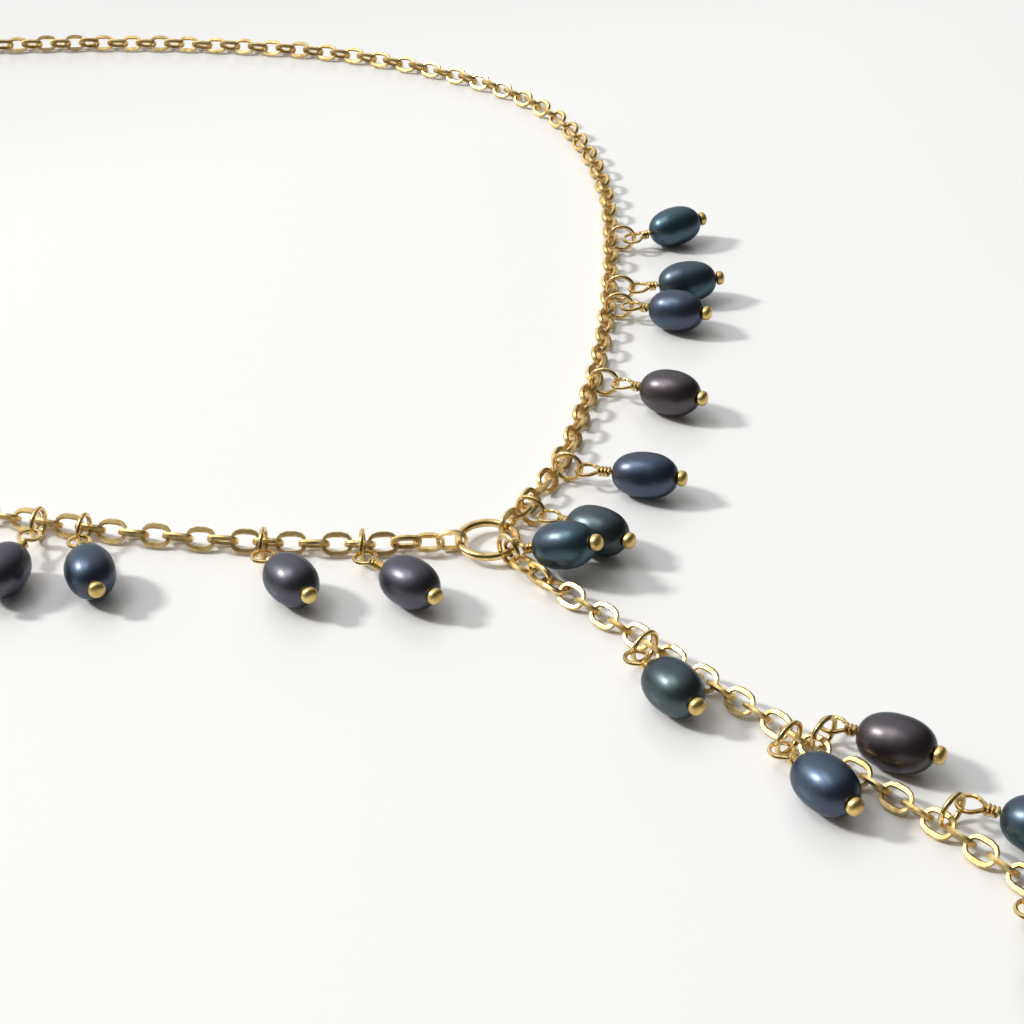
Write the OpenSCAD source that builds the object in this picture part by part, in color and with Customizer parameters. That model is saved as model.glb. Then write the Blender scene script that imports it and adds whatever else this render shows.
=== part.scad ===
// Y necklace. Two flat cable chains meet at a round ring and a third chain drops from it.
// Drilled oval pearls hang along the outside, each on a head pin that is wrapped shut on a
// jump ring. It lies on the plane z = 0 with its clasp undone. +Z is up, +Y runs from the
// ring towards the clasp, and the origin is at the middle of the space it covers.

/* [Chain link] */
// Width of one flat link
link_w = 3.1; // [3:0.1:3.1]
// Length of one flat link
link_l = 3.9; // [3.9:0.05:3.95]
// Thickness of the flat link
link_t = 0.6; // [0.5:0.05:0.6]
// Width of the slot through the link
slot_w = 1.6; // [1.55:0.05:1.6]
// Length of the slot through the link
slot_l = 3; // [3:0.05:3.05]
// Distance from one link to the next in the right half and the drop, which lie a little slack
pitch = 2.6; // [2.56:0.01:2.6]
// Distance from one link to the next in the left half, which lies pulled straight
left_pitch = 2.74; // [2.72:0.01:2.74]

/* [Rings] */
// Outer diameter of the round ring where the three chains meet
ring_d = 8; // [7.9:0.1:8.1]
// Wire of the round ring
ring_wire = 1; // [0.9:0.05:1]
// Outer diameter of a jump ring
jump_d = 4.3; // [4.2:0.05:4.3]
// Wire of a jump ring
jump_wire = 0.6; // [0.5:0.05:0.6]

/* [Head pin] */
// Wire of a head pin
pin_wire = 0.5; // [0.45:0.05:0.5]
// Outer diameter of the eye that is turned at the top of a head pin
eye_d = 3.1; // [3:0.05:3.15]
// Length of the wrapped neck between eye and pearl
neck_l = 1.35; // [1.2:0.05:1.5]
// Diameter of the ball head
ball_d = 2; // [1.9:0.1:2.2]
// Length of the ball head along the pin
ball_l = 1.2; // [1:0.1:1.3]
// Diameter of the hole drilled through a pearl
bore_d = 0.66; // [0.62:0.02:0.7]

/* [Clasp] */
// Thickness of the lobster clasp
clasp_t = 2.2; // [2.2:0.1:2.4]
// Diameter of the clasp's rivet
rivet_d = 0.6; // [0.5:0.05:0.6]
// Bore of the end tag that the clasp hooks into
tag_bore_d = 4; // [3.6:0.1:4.2]
// Thickness of the end tag
tag_t = 0.8; // [0.7:0.05:0.8]

/* [Hidden] */
$fn = 32;
// Running gap at each end of a pearl
hair = 0.03;
// Where the centre of the round ring lies
home = [43.12, -41.85];
// Height of the round ring: it lies on the lowest sides of the links that hold it
ring_z = 1.4;
ring_r = (ring_d - ring_wire) / 2;
jump_r = (jump_d - jump_wire) / 2;
jump_z = jump_d / 2 + 0.05;
eye_r = (eye_d - pin_wire) / 2;
// A tilted link touches the table when its middle is this high
rest_z = (link_w + link_t) / 2 * sin(45) + 0.002;

// A chain is [start heading, first link, link count, last link before its joint,
// arcs as [length, turn], first links and last links as [roll, height], roll of an even link,
// distance between links]
HEADING = 0;
FIRST = 1;
COUNT = 2;
BREAK = 3;
ARCS = 4;
STARTS = 5;
ENDS = 6;
EVEN = 7;
PITCH = 8;
right = [
    54, 4.3, 94, 44,
    [[26, 22], [30, 8], [34, 6], [30, 19], [26, 34], [40, 27], [52, 16], [24, -14]],
    [[90, 1.55], [-25, 1.5], [52, 1.42]],
    [[-40, 1.4], [63, 1.56], [-12, 1.5]],
    45, pitch
];
left = [
    186, 4.3, 87, 86,
    [[24, -9], [40, -14], [60, -20], [124, -105]],
    [[90, 1.56], [-14, 1.5], [58, 1.51]],
    [[59, 1.5], [-14, 1.5], [90, 1.56]],
    45, left_pitch
];
drop = [
    -53, 6.85, 29, 10,
    [[12, 8], [14, -2], [14, 0], [16, 2], [40, -7]],
    [[-11, 1.62], [-93, 1.57], [-23, 1.39]],
    [[-45, rest_z], [45, rest_z], [-45, rest_z]],
    -45, pitch
];
// Slack in the link contact that a chain swings about
slack = 0.4;

// A pendant is [name, chain, link, side (1 left, -1 right), swing forward from square,
// spare reach of the pin, pearl diameter, pearl length, where its ring sits along the link]
PENDANTS = [
    ["right_1", right, 1, -1, -6, 0, 6, 8.2, 0],
    ["right_2", right, 5, -1, 4, 0.4, 5.9, 8.4, 0],
    ["right_3", right, 13, -1, -19, 0, 6.1, 8.4, 0],
    ["right_4", right, 21, -1, -18, -0.9, 6, 8, 0],
    ["right_5", right, 23, -1, 8, 0, 6, 8.4, 0],
    ["right_6", right, 29, -1, 22, -0.9, 5.9, 8, 0],
    ["left_1", left, 4, 1, -43, 1.1, 6, 8, -0.4],
    ["left_2", left, 8, 1, -38, 0, 6, 7.8, 0.3],
    ["left_3", left, 16, 1, -32, 0.6, 6, 7.8, 0.1],
    ["left_4", left, 18, 1, -4, 1, 5.9, 8, 0.4],
    ["drop_2", drop, 8, -1, 78, 0, 6, 8, 0],
    ["drop_3", drop, 16, -1, 78, 0, 6, 8.2, 0.3],
    ["drop_4", drop, 17, 1, 78, -0.9, 6.2, 8.6, -0.3],
    ["drop_5", drop, 23, 1, 76, 0.4, 6, 8.2, 0.3],
    ["drop_6", drop, 28, -1, 62, 0, 6.2, 8.6, 0]
];
// The first pearl of the drop hangs on the round ring itself: direction from the ring's
// centre, direction of its pin, height of its pearl, pearl diameter and length
FIRST_DROP = [-35, -27, 4.3, 5.9, 8];

// One arc onwards from [x, y, heading]
function arc(from, length, turn) =
    abs(turn) < 0.001
    ? [from.x + length * cos(from.z), from.y + length * sin(from.z), from.z]
    : let (r = length * 180 / (PI * turn), to = from.z + turn)
      [from.x + r * (sin(to) - sin(from.z)), from.y - r * (cos(to) - cos(from.z)), to];

// Place and heading at distance s along a row of arcs
function along(arcs, from, s, i = 0) =
    i == len(arcs) - 1 || s <= arcs[i][0]
    ? arc(from, s, arcs[i][1] * s / arcs[i][0])
    : along(arcs, arc(from, arcs[i][0], arcs[i][1]), s - arcs[i][0], i + 1);

function link_s(c, i) = c[FIRST] + c[PITCH] * i - (i > c[BREAK] ? slack : 0);
function link_place(c, i) = along(c[ARCS], [home.x, home.y, c[HEADING]], link_s(c, i));
function from_end(c, i) = i - c[COUNT] + len(c[ENDS]);
function link_set(c, i) =
    i < len(c[STARTS]) ? c[STARTS][i]
    : from_end(c, i) >= 0 ? c[ENDS][from_end(c, i)]
    : [i % 2 == 0 ? c[EVEN] : -c[EVEN], rest_z];

module at_link(c, i) {
    p = link_place(c, i);
    translate([p.x, p.y, 0]) rotate(p.z) children();
}

// Flat outline with two round ends, from two circles and the square between them
module stadium(length, width) {
    c = (length - width) / 2;
    square([2 * c, width], center = true);
    for (x = [-c, c]) translate([x, 0]) circle(d = width);
}

module torus(r, wire) {
    rotate_extrude() translate([r, 0]) circle(d = wire);
}

module link() {
    translate([0, 0, -link_t / 2]) linear_extrude(link_t) difference() {
        stadium(link_l, link_w);
        stadium(slot_l, slot_w);
    }
}

module chain(c, from, to) {
    color("goldenrod") for (i = [from:to]) at_link(c, i)
        translate([0, 0, link_set(c, i)[1]]) rotate([link_set(c, i)[0], 0, 0]) link();
}

module right_chain_front() { chain(right, 0, right[BREAK]); }

module right_chain_back() { chain(right, right[BREAK] + 1, right[COUNT] - 1); }

module left_chain() { chain(left, 0, left[COUNT] - 1); }

module drop_chain_upper() { chain(drop, 0, drop[BREAK]); }

module drop_chain_lower() { chain(drop, drop[BREAK] + 1, drop[COUNT] - 1); }

module centre_ring() {
    color("gold") translate([home.x, home.y, ring_z]) torus(ring_r, ring_wire);
}

// A jump ring on edge, in the plane through +X and +Z
module upright_ring() {
    color("gold") rotate([90, 0, 0]) torus(jump_r, jump_wire);
}

// The drop's first jump ring stands on the round ring and holds the drop's first link
drop_ring_x = ring_r + 0.6;
module drop_ring() {
    translate([home.x, home.y, jump_z]) rotate(drop[HEADING])
        translate([drop_ring_x, 0, 0]) upright_ring();
}

// Head pin along +X with its eye at the origin, flat in the plane through +X and +Y
// Step from one wrap of the neck to the next
wrap_step = 0.46;
module head_pin(neck, pearl_l) {
    wraps = floor((neck - 0.1) / wrap_step);
    head_x = eye_d / 2 + neck + 2 * hair + pearl_l + ball_l / 2;
    color("goldenrod") {
        torus(eye_r, pin_wire);
        rotate([0, 90, 0]) rotate_extrude() {
            translate([0, eye_r]) square([pin_wire / 2, head_x - eye_r]);
            for (i = [0:wraps - 1])
                translate([pin_wire - 0.02, eye_d / 2 + neck - pin_wire / 2 - i * wrap_step])
                    circle(d = pin_wire);
            translate([0, head_x - ball_l / 2]) square([(ball_d - ball_l) / 2, ball_l]);
            intersection() {
                translate([(ball_d - ball_l) / 2, head_x]) circle(d = ball_l);
                translate([0, head_x - ball_l / 2]) square([ball_d, ball_l]);
            }
        }
    }
}

// Drilled oval pearl along +X, a little fuller at its ends than an ellipse. Its outline is turned
// about its hole in short straight bands.
fullness = 2.25;
bands = 28;
function oval(u) = pow(1 - pow(abs(u), fullness), 1 / fullness);
module pearl(d, length) {
    color("darkslategray") rotate([0, 90, 0]) rotate_extrude() intersection() {
        polygon([for (i = [0:bands]) let (u = -cos(180 * i / bands)) [d / 2 * oval(u), length / 2 * u]]);
        translate([bore_d / 2, -length / 2]) square([d / 2, length]);
    }
}

// The frame of one pendant: +X along its head pin, origin at the middle of the pin's eye
eye_gap = eye_r - pin_wire / 2 - jump_wire / 2 - 0.05;
pendant_ring_y = sqrt(pow(jump_r, 2) - pow(jump_z - rest_z, 2));
function pin_neck(p) = neck_l + max(p[5], 0);
function eye_x(p) = eye_gap + min(p[5], 0);
function pearl_mid(p) = eye_d / 2 + pin_neck(p) + hair + p[7] / 2;
function pin_tilt(p) = asin((p[6] / 2 + hair - jump_z) / (eye_x(p) + pearl_mid(p)));
module pendant_frame(p) {
    at_link(p[1], p[2]) translate([p[8], p[3] * (pendant_ring_y + jump_r), jump_z])
        rotate(p[3] * (90 - p[4])) rotate([0, -pin_tilt(p), 0])
        translate([eye_x(p), 0, 0]) children();
}

module pendant_ring(p) {
    at_link(p[1], p[2]) translate([p[8], p[3] * pendant_ring_y, jump_z])
        rotate(90) upright_ring();
}

module pendant_pin(p) {
    pendant_frame(p) head_pin(pin_neck(p), p[7]);
}

module pendant_pearl(p) {
    pendant_frame(p) translate([pearl_mid(p), 0, 0]) pearl(p[6], p[7]);
}

// The first pearl of the drop: its eye stands upright round the wire of the round ring
first_eye_z = 1.45;
first_eye_x = 0.45;
first_mid = eye_d / 2 + neck_l + hair + FIRST_DROP[4] / 2;
first_tilt = asin((FIRST_DROP[2] - first_eye_z) / (first_eye_x + first_mid));
module first_drop_frame() {
    translate([home.x, home.y, 0]) rotate(FIRST_DROP[0]) translate([ring_r, 0, first_eye_z])
        rotate(FIRST_DROP[1] - FIRST_DROP[0]) rotate([0, -first_tilt, 0])
        translate([first_eye_x, 0, 0]) rotate([90, 0, 0]) children();
}

module pin_drop_1() { first_drop_frame() head_pin(neck_l, FIRST_DROP[4]); }

module pearl_drop_1() {
    first_drop_frame() translate([first_mid, 0, 0]) pearl(FIRST_DROP[3], FIRST_DROP[4]);
}

// Clasp, along +X from the hole in its tail, with its middle plane at z = 0
tail_x = 3.85;
clasp_z = clasp_t / 2;
tail_t = 0.7;
tail_hole_r = 0.9;
claw_x = 7.2;
claw_r = 3;
mouth_x = 7.4;
mouth_r = 1.75;
pivot = [4.3, 1];
slot_t = 1;
module clasp_frame() {
    at_link(right, right[COUNT] - 1) translate([tail_x, 0, clasp_z]) children();
}

module clasp_ring() {
    at_link(right, right[COUNT] - 1) translate([tail_x - 1.3, 0, jump_z]) upright_ring();
}

module clasp_body() {
    color("gold") clasp_frame() difference() {
        union() {
            translate([0, 0, -tail_t / 2]) cylinder(r = 1.5, h = tail_t);
            translate([0, -1.2, -tail_t / 2]) cube([3, 2.4, tail_t]);
            translate([0, 0, -clasp_t / 2]) linear_extrude(clasp_t) {
                translate([claw_x, 0]) circle(r = claw_r);
                polygon([[1.9, -1.2], [claw_x - 0.8, -2.85], [claw_x - 0.8, 2.85], [1.9, 1.2]]);
            }
        }
        translate([0, 0, -clasp_t]) cylinder(r = tail_hole_r, h = 2 * clasp_t);
        translate([mouth_x, 0, -clasp_t]) cylinder(r = mouth_r, h = 2 * clasp_t);
        translate([5.8, 0.9, -clasp_t]) cube([2.6, 3, 2 * clasp_t]);
        translate([2.9, -0.4, -slot_t / 2]) cube([3, 4, slot_t]);
        translate([pivot.x, pivot.y, -clasp_t]) cylinder(d = rivet_d + 0.04, h = 2 * clasp_t);
    }
}

module clasp_lever() {
    color("khaki") clasp_frame() difference() {
        union() {
            translate([0, 0, -0.45]) linear_extrude(0.5) {
                translate(pivot) circle(r = 0.85);
                translate([pivot.x, 1.45]) square([2.4, 0.9]);
                translate([3.3, 1]) square([1, 1.5]);
                translate([3.8, 2.5]) circle(r = 0.5);
            }
            translate([6.3, 1.45, -1]) cube([1.45, 0.9, 2]);
            translate([7.75, 1.9, -1]) cylinder(r = 0.45, h = 2);
        }
        translate([pivot.x, pivot.y, -clasp_t]) cylinder(d = rivet_d + 0.1, h = 2 * clasp_t);
    }
}

module clasp_rivet() {
    color("gold") clasp_frame() translate([pivot.x, pivot.y, -clasp_t / 2])
        cylinder(d = rivet_d, h = clasp_t);
}

// Two turns of thin wire round the rivet, one leg on the lever and one in the body
spring_wire = 0.14;
spring_r = 0.47;
module clasp_spring() {
    color("silver") clasp_frame() translate([pivot.x, pivot.y, 0.18]) {
        rotate_extrude() for (turn = [0, 1])
            translate([spring_r, turn * 0.12]) circle(d = spring_wire);
        translate([0, spring_r, 0.12]) rotate([0, 90, 0]) cylinder(d = spring_wire, h = 1.1);
        translate([0, -spring_r, 0]) rotate([0, -90, 0]) cylinder(d = spring_wire, h = 1.1);
    }
}

// Flat tag with a small hole for the last link and a large one for the clasp
tag_z = 0.9;
tag_small_x = 1.625;
tag_large_x = 5.7;
module end_tag() {
    color("gold") at_link(left, left[COUNT] - 1) translate([0, 0, tag_z]) difference() {
        linear_extrude(tag_t) {
            translate([tag_small_x, 0]) circle(r = 1.7);
            translate([tag_large_x, 0]) circle(r = 3);
        }
        translate([tag_small_x, 0, -tag_t]) cylinder(r = 0.85, h = 3 * tag_t);
        translate([tag_large_x, 0, -tag_t]) cylinder(d = tag_bore_d, h = 3 * tag_t);
    }
}

centre_ring();
right_chain_front();
right_chain_back();
left_chain();
drop_ring();
drop_chain_upper();
drop_chain_lower();
clasp_ring();
clasp_body();
clasp_lever();
clasp_rivet();
clasp_spring();
end_tag();
pin_drop_1();
pearl_drop_1();
for (p = PENDANTS) {
    pendant_ring(p);
    pendant_pin(p);
    pendant_pearl(p);
}
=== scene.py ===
"""Y necklace of flat gilt cable chain with drilled oval pearls, lying on a pale table."""

import bpy
import numpy as np
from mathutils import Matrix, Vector


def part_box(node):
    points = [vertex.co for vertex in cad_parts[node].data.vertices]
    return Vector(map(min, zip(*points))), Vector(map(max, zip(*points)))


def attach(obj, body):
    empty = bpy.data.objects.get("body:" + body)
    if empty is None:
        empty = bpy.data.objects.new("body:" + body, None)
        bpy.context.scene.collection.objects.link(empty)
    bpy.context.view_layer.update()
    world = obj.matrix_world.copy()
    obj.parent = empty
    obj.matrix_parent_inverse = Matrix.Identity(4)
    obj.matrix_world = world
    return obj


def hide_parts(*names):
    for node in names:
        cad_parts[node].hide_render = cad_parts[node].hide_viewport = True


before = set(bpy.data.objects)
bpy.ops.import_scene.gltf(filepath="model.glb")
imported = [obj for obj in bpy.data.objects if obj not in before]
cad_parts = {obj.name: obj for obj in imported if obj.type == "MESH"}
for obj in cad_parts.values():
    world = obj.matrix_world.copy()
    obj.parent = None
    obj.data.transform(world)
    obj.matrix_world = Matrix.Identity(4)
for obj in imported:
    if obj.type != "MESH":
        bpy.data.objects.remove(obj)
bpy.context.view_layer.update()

# --- Camera ---
# A long lens close to the table, looking down at 35 degrees over the end of the drop towards
# the round ring where the three chains meet.
ring_low, ring_high = (np.array(corner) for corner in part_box("centre_ring"))
home = (ring_low + ring_high) / 2
CAMERA_SIDE, CAMERA_BACK, CAMERA_HEIGHT = 0.00287, 0.19373, 0.14107
CAMERA_PITCH = 35
lens = bpy.data.cameras.new("studio_camera")
lens.lens = 70.3125
lens.sensor_width = 36
lens.clip_start = 0.005
lens.clip_end = 50
camera = bpy.data.objects.new("studio_camera", lens)
camera.location = (home[0] + CAMERA_SIDE, home[1] - CAMERA_BACK, CAMERA_HEIGHT)
camera.rotation_euler = (np.radians(90 - CAMERA_PITCH), 0, 0)
bpy.context.collection.objects.link(camera)
bpy.context.scene.camera = camera
bpy.context.scene.view_settings.view_transform = "Standard"

# --- Table and studio light ---
# A satin white table top with painted shade: its colour darkens a little towards the far left, in
# place of light that falls off there. One small hard lamp at the left throws the shadows, and a
# wide soft box hangs above it. The room is pale high at the far left and dark low at the near
# right.


def new_material(name, **plain):
    """A material with one Principled shader. Its sockets named in plain get those values."""
    material = bpy.data.materials.new(name)
    material.use_nodes = True
    shader = material.node_tree.nodes["Principled BSDF"]
    for socket, value in plain.items():
        shader.inputs[socket.replace("_", " ")].default_value = value
    return material, material.node_tree, shader


TABLE_SIZE, TABLE_DROP = 6, 2e-5
# Painted shade: the second white is the table's colour darkened towards the far left, for light
# falling off there.
NEAR_WHITE, SHADED_FAR_WHITE = (0.9, 0.9, 0.895, 1), (0.78, 0.78, 0.775, 1)
SHADE_SIDE = (-0.5, 0.866, 0)
FADE_START, FADE_END = 0.045, 0.14
table_mesh = bpy.data.meshes.new("table_top")
table_mesh.from_pydata(
    [
        (x * TABLE_SIZE, y * TABLE_SIZE, -TABLE_DROP)
        for x, y in ((-1, -1), (1, -1), (1, 1), (-1, 1))
    ],
    [],
    [(0, 1, 2, 3)],
)
table = bpy.data.objects.new("table_top", table_mesh)
bpy.context.collection.objects.link(table)
satin_white, nodes, shader = new_material(
    "satin_white_table", Base_Color=NEAR_WHITE, Roughness=0.22, Specular_IOR_Level=0.3
)
table_mesh.materials.append(satin_white)
# Painted shade: the base colour fades from the near white to a greyer white towards the far left.
painted_falloff = nodes.nodes.new("ShaderNodeVectorMath")
painted_falloff.operation = "DOT_PRODUCT"
painted_falloff.inputs[1].default_value = SHADE_SIDE
nodes.links.new(nodes.nodes.new("ShaderNodeTexCoord").outputs["Object"], painted_falloff.inputs[0])
painted_shade_ramp = nodes.nodes.new("ShaderNodeValToRGB")
painted_shade_ramp.color_ramp.elements[0].position = FADE_START
painted_shade_ramp.color_ramp.elements[0].color = NEAR_WHITE
painted_shade_ramp.color_ramp.elements[1].position = FADE_END
painted_shade_ramp.color_ramp.elements[1].color = SHADED_FAR_WHITE
painted_shade_ramp.color_ramp.interpolation = "EASE"
nodes.links.new(painted_falloff.outputs["Value"], painted_shade_ramp.inputs["Fac"])
nodes.links.new(painted_shade_ramp.outputs["Color"], shader.inputs["Base Color"])


def hang_lamp(name, towards, distance, size, power, colour):
    """A square lamp at that distance from the ring, in the direction towards, facing the ring."""
    lamp = bpy.data.lights.new(name, "AREA")
    lamp.shape = "RECTANGLE"
    lamp.size, lamp.size_y = size
    lamp.energy = power
    lamp.color = colour
    holder = bpy.data.objects.new(name, lamp)
    away = Vector(towards).normalized()
    holder.location = Vector(home) + away * distance
    holder.rotation_euler = away.to_track_quat("Z", "Y").to_euler()
    holder.visible_camera = False
    bpy.context.collection.objects.link(holder)


hang_lamp("key_lamp", (-0.76, 0.1, 0.6), 2.4, (0.3, 0.3), 40, (1, 0.985, 0.955))
hang_lamp("soft_box", (-0.42, 0.05, 0.87), 2.2, (0.95, 0.75), 9, (0.95, 0.98, 1))

PALE_SIDE = (-0.5, 0.6, 0.62)
DARK_BELOW, PALE_ABOVE = 0.22, 0.85
room = bpy.data.worlds.new("pale_room")
bpy.context.scene.world = room
room.use_nodes = True
tree = room.node_tree
tree.nodes.clear()
room_out = tree.nodes.new("ShaderNodeOutputWorld")
room_light = tree.nodes.new("ShaderNodeBackground")
room_seen = tree.nodes.new("ShaderNodeBackground")
seen_or_lit = tree.nodes.new("ShaderNodeMixShader")
ray = tree.nodes.new("ShaderNodeLightPath")
coordinates = tree.nodes.new("ShaderNodeTexCoord")
lean = tree.nodes.new("ShaderNodeVectorMath")
lean.operation = "DOT_PRODUCT"
lean.inputs[1].default_value = PALE_SIDE
shade = tree.nodes.new("ShaderNodeValToRGB")
shade.color_ramp.elements[0].position = DARK_BELOW
shade.color_ramp.elements[0].color = (0.07, 0.066, 0.06, 1)
shade.color_ramp.elements[1].position = PALE_ABOVE
shade.color_ramp.elements[1].color = (1.0, 1.0, 1.0, 1)
room_seen.inputs["Color"].default_value = (0.93, 0.93, 0.93, 1)
tree.links.new(coordinates.outputs["Generated"], lean.inputs[0])
tree.links.new(lean.outputs["Value"], shade.inputs["Fac"])
tree.links.new(shade.outputs["Color"], room_light.inputs["Color"])
tree.links.new(ray.outputs["Is Camera Ray"], seen_or_lit.inputs["Fac"])
tree.links.new(room_light.outputs["Background"], seen_or_lit.inputs[1])
tree.links.new(room_seen.outputs["Background"], seen_or_lit.inputs[2])
tree.links.new(seen_or_lit.outputs["Shader"], room_out.inputs["Surface"])

# --- Flat cable chain ---
# Oval wire links pressed flat and gilded, each turned about 45 degrees the other way from the
# one before, so that the chain rests on the link edges. Two halves of the neck and the drop
# start at the round ring. A few links roll a little further, as they do when a chain is laid down.
MM = 0.001
LINK_LENGTH, LINK_WIDTH, LINK_THICKNESS = 3.9, 3.1, 0.6
HOLE_LENGTH, HOLE_WIDTH = 2.92, 1.62
JOINT_SLACK = 0.4
LINK_STEPS = 16
ROLL_SPREAD, YAW_SPREAD = 2.5, 1.2
ROLL_LIMIT, YAW_LIMIT = 5, 2
LINK_SEED = 11
LINK_GAP = 0.004


def lowest_middle(roll):
    """How high a link's middle is when it rests on the table: half its width and half its
    thickness, each as tall as the roll makes it stand."""
    lean_angle = np.radians(roll)
    half_width, half_thickness = LINK_WIDTH / 2, LINK_THICKNESS / 2
    tall = half_width * abs(np.sin(lean_angle)) + half_thickness * abs(np.cos(lean_angle))
    return tall + LINK_GAP


REST = 1.3101
CHAINS = {
    "right": {
        "heading": 54, "first": 4.3, "pitch": 2.6, "count": 94, "last_fixed": 44, "even": 45,
        "arcs": [(26, 22), (30, 8), (34, 6), (30, 19), (26, 34), (40, 27), (52, 16), (24, -14)],
        "starts": [(90, 1.55), (-25, 1.5), (52, 1.42)],
        "ends": [(-40, 1.4), (63, 1.56), (-12, 1.5)],
    },
    "left": {
        "heading": 186, "first": 4.3, "pitch": 2.74, "count": 87, "last_fixed": 86, "even": 45,
        "arcs": [(24, -9), (40, -14), (60, -20), (124, -105)],
        "starts": [(90, 1.56), (-14, 1.5), (58, 1.51)],
        "ends": [(59, 1.5), (-14, 1.5), (90, 1.56)],
    },
    "drop": {
        "heading": -53, "first": 6.85, "pitch": 2.6, "count": 29, "last_fixed": 10, "even": -45,
        "arcs": [(12, 8), (14, -2), (14, 0), (16, 2), (40, -7)],
        "starts": [(-11, 1.62), (-93, 1.57), (-23, 1.39)],
        "ends": [(-45, REST), (45, REST), (-45, REST)],
    },
}


def walk_arcs(arcs, start, distances):
    """Place and heading at each distance along a row of arcs (length, turn). The heading grows
    evenly along an arc, and x and y follow its circle, whose radius is length over turn."""
    x, y, heading = start
    places = np.zeros((len(distances), 3))
    left = np.array(distances, float)
    for number, (length, turn) in enumerate(arcs):
        bend = np.radians(turn) if turn else 1e-9
        radius = length / bend
        here = left >= 0
        headings = heading + bend * left / length
        across = radius * (np.sin(headings) - np.sin(heading))
        up = -radius * (np.cos(headings) - np.cos(heading))
        places[here] = np.stack([x + across, y + up, headings], 1)[here]
        x = x + radius * (np.sin(heading + bend) - np.sin(heading))
        y = y - radius * (np.cos(heading + bend) - np.cos(heading))
        heading = heading + bend
        left = left - length
    return places


def lay_chain(chain):
    """x, y, heading, roll and height of every link of a chain: equal steps along its arcs, rolls
    that alternate, and the first and last links as they are listed."""
    index = np.arange(chain["count"])
    slack = JOINT_SLACK * (index > chain["last_fixed"])
    distance = chain["first"] + chain["pitch"] * index - slack
    start = (home[0] / MM, home[1] / MM, np.radians(chain["heading"]))
    places = walk_arcs(chain["arcs"], start, distance)
    roll = np.where(index % 2 == 0, chain["even"], -chain["even"]).astype(float)
    height = np.full(len(index), REST)
    for listed, at in ((chain["starts"], 0), (chain["ends"], len(index) - 3)):
        roll[at:at + 3] = [r for r, _ in listed]
        height[at:at + 3] = [z for _, z in listed]
    return places[:, 0], places[:, 1], places[:, 2], roll, height


def turned_about(axis, degrees):
    """4 by 4 matrix of a right-handed turn about the x, y or z axis; degrees may be an array."""
    angle = np.radians(np.asarray(degrees, float))
    first, second = {"x": (1, 2), "y": (2, 0), "z": (0, 1)}[axis]
    matrix = np.zeros(angle.shape + (4, 4)) + np.eye(4)
    matrix[..., first, first] = matrix[..., second, second] = np.cos(angle)
    matrix[..., second, first] = np.sin(angle)
    matrix[..., first, second] = -np.sin(angle)
    return matrix


def moved_to(x, y, z):
    """4 by 4 matrix of a move; x, y and z may be arrays of one length."""
    x, y, z = np.broadcast_arrays(x, y, z)
    matrix = np.zeros(x.shape + (4, 4)) + np.eye(4)
    matrix[..., 0, 3], matrix[..., 1, 3], matrix[..., 2, 3] = x, y, z
    return matrix


def placed(shape, matrix):
    """The points of a shape after a 4 by 4 matrix, with its faces as they were."""
    points, faces = shape
    return points @ matrix[:3, :3].T + matrix[:3, 3], faces


def grid_faces(rows, columns, rows_close, columns_close):
    """Corners of each cell of a grid of points numbered row by row. A direction that closes
    joins its last line to its first."""
    row = np.arange(rows if rows_close else rows - 1)[:, None]
    column = np.arange(columns if columns_close else columns - 1)[None, :]
    next_row, next_column = (row + 1) % rows, (column + 1) % columns
    corners = (
        row * columns + column,
        next_row * columns + column,
        next_row * columns + next_column,
        row * columns + next_column,
    )
    return np.stack(np.broadcast_arrays(*corners), -1).reshape(-1, 4)


def stadium_edge(length, width, around):
    """Points where rays at the angles around leave an oval of two half circles and two straight
    sides: each point is the half circle's, pushed out along x by the middle's half length."""
    middle, radius = (length - width) / 2, width / 2
    push = np.clip(np.cos(around) * 3, -1, 1) * middle
    return np.stack([push + radius * np.cos(around), radius * np.sin(around)], -1)


def link_shape():
    """One flat link: a six-sided profile, flat above and below with a full edge inside and out,
    carried round between the oval hole and the oval rim."""
    around = np.linspace(0, 2 * np.pi, LINK_STEPS, endpoint=False) + np.pi / LINK_STEPS
    rim = stadium_edge(LINK_LENGTH, LINK_WIDTH, around)[:, None, :]
    hole = stadium_edge(HOLE_LENGTH, HOLE_WIDTH, around)[:, None, :]
    outwards = np.array([0.2, 0.8, 1, 0.8, 0.2, 0])[None, :, None]
    flat = LINK_THICKNESS / 2
    heights = np.array([flat, flat, 0, -flat, -flat, 0])
    plan = hole + (rim - hole) * outwards
    height = np.broadcast_to(heights[None, :, None], plan.shape[:2] + (1,))
    points = np.concatenate([plan, height], -1).reshape(-1, 3)
    return points, grid_faces(LINK_STEPS, 6, True, True)


def chain_links(chain, numbers, seed):
    """The chosen links of a chain as one shape. Each has a small random roll and yaw of its own
    and then rests on the table again."""
    x, y, heading, roll, height = lay_chain(chain)
    chance = np.random.default_rng(seed)
    lean_more = np.clip(chance.normal(0, ROLL_SPREAD, len(x)), -ROLL_LIMIT, ROLL_LIMIT)
    swerve = np.clip(chance.normal(0, YAW_SPREAD, len(x)), -YAW_LIMIT, YAW_LIMIT)
    yaw = np.degrees(heading) + swerve
    height = height + lowest_middle(roll + lean_more) - lowest_middle(roll)
    upright = moved_to(x, y, height) @ turned_about("z", yaw)
    matrices = upright @ turned_about("x", roll + lean_more)
    points, faces = link_shape()
    picked = matrices[numbers]
    every = np.einsum("nij,kj->nki", picked[:, :3, :3], points) + picked[:, None, :3, 3]
    shift = (np.arange(len(numbers)) * len(points))[:, None, None]
    return every.reshape(-1, 3), (faces[None] + shift).reshape(-1, 4)


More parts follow.
